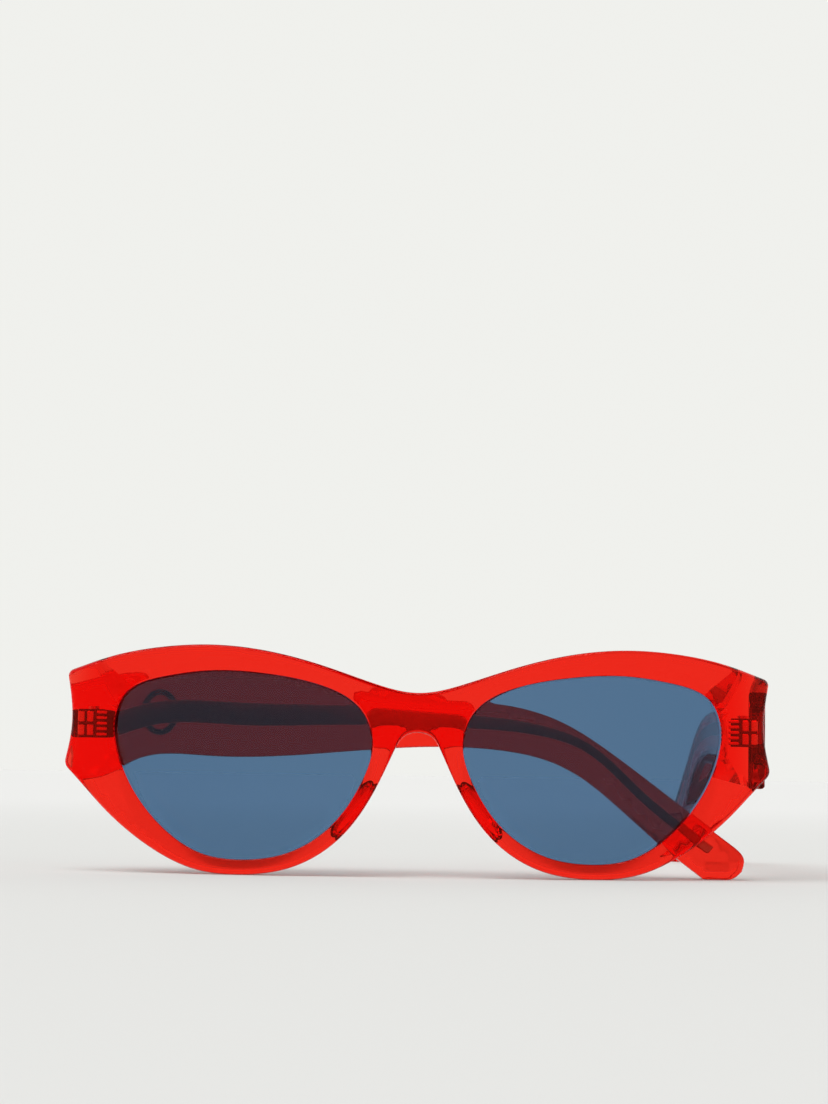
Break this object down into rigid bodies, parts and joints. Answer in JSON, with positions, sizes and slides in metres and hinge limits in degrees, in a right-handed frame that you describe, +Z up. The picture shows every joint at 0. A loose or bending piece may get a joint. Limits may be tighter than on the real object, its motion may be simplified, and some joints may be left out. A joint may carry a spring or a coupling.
{
  "type": "cat eye sunglasses",
  "caption": "Cat eye sunglasses with a clear red acetate front, tinted lenses and two hinged temples that fold behind the front.",
  "frame": {"origin": "middle of the bounding box at rest, on the surface that the rims and temple tips stand on", "axes": "+X across the front to the viewer's right, front faces -Y, +Z up"},
  "size_m": [0.142, 0.1491, 0.0455],
  "materials": {
    "acetate": "clear red cellulose acetate, tumbled and polished",
    "lens": "blue-grey tinted lens, gloss",
    "hinge_metal": "bright nickel plated hinge",
    "core_metal": "rolled nickel silver core",
    "ring_metal": "polished pale gold plate"
  },
  "bodies": {
    "front": {"front_frame": "acetate", "lens_left": "lens", "lens_right": "lens", "nose_pad_left": "acetate", "nose_pad_right": "acetate", "hinge_front_leaf_left": "hinge_metal", "hinge_front_leaf_right": "hinge_metal", "hinge_screw_left": "hinge_metal", "hinge_screw_right": "hinge_metal"},
    "temple_arm_left": {"temple_left": "acetate", "hinge_temple_leaf_left": "hinge_metal", "core_wire_left": "core_metal", "emblem_ring_left": "ring_metal"},
    "temple_arm_right": {"temple_right": "acetate", "hinge_temple_leaf_right": "hinge_metal", "core_wire_right": "core_metal", "emblem_ring_right": "ring_metal"}
  },
  "joints": [
    {"name": "temple_hinge_left", "type": "hinge", "parent": "front", "child": "temple_arm_left", "pos_m": [-0.0646, -0.05615, 0.0296], "axis": [0, 0, 1], "range_deg": [0, 90]},
    {"name": "temple_hinge_right", "type": "hinge", "parent": "front", "child": "temple_arm_right", "pos_m": [0.0646, -0.05615, 0.0296], "axis": [0, 0, 1], "range_deg": [0, 82]}
  ]
}
